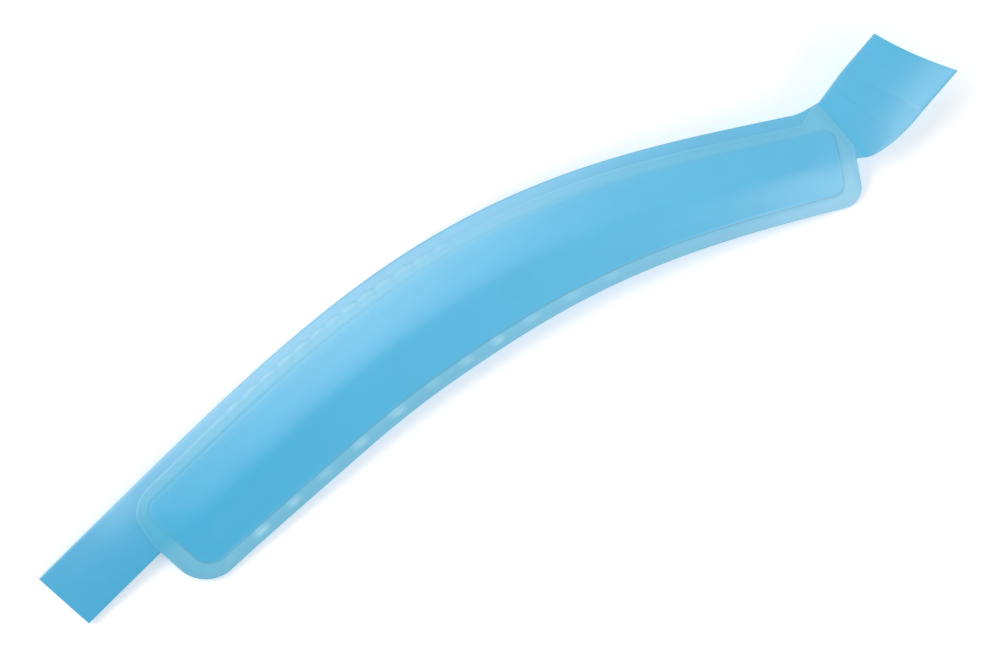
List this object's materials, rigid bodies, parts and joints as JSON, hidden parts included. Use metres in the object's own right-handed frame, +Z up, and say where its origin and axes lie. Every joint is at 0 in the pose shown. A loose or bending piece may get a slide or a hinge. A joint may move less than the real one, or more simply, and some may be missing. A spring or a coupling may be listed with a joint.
{
  "type": "cheek retractor band",
  "caption": "Soft curved retractor band: a padded film pouch welded over a carrier strap that ends in two pull tabs, bending in the middle and folding at the tabs.",
  "frame": {"origin": "middle of the band's box, on the table that it lies on", "axes": "+X along the band towards the raised far tab, +Y towards the strap's free outer edge, +Z up out of the padded front face"},
  "size_m": [0.1673, 0.0327, 0.0097],
  "materials": {
    "strap_blue": "satin, slightly see-through film",
    "film_blue": "satin, slightly see-through film",
    "back_blue": "satin, slightly see-through film",
    "core_blue": "soft matt cushion sheet"
  },
  "bodies": {
    "near_half": {"back_film_near_half": "back_blue", "carrier_strap_near_half": "strap_blue", "pad_core_near_half": "core_blue", "front_film_near_half": "film_blue"},
    "far_half": {"back_film_far_half": "back_blue", "carrier_strap_far_half": "strap_blue", "pad_core_far_half": "core_blue", "front_film_far_half": "film_blue"},
    "near_tab": {"near_pull_tab": "strap_blue"},
    "far_tab": {"far_pull_tab": "strap_blue"},
    "far_tip": {"far_pull_tab_tip": "strap_blue"}
  },
  "joints": [
    {"name": "pad_bend", "type": "hinge", "parent": "near_half", "child": "far_half", "pos_m": [0, 0, 0], "axis": [0, 1, 0], "range_deg": [0, 85], "stiffness_Nm_per_rad": 0.002},
    {"name": "near_tab_fold", "type": "hinge", "parent": "near_half", "child": "near_tab", "pos_m": [-0.0657, 0.0026, 0.0023], "axis": [0, 1, 0], "range_deg": [-80, 95], "stiffness_Nm_per_rad": 0.0003},
    {"name": "far_tab_fold", "type": "hinge", "parent": "far_half", "child": "far_tab", "pos_m": [0.062, 0.0004, 0.0052], "axis": [0.1384, -0.9779, -0.1568], "range_deg": [-90, 75], "stiffness_Nm_per_rad": 0.0003},
    {"name": "far_tab_crease", "type": "hinge", "parent": "far_tab", "child": "far_tip", "pos_m": [0.06785, 0.0025, 0.0072], "axis": [0.5243, -0.8327, -0.1782], "range_deg": [-80, 80], "stiffness_Nm_per_rad": 0.0003}
  ]
}
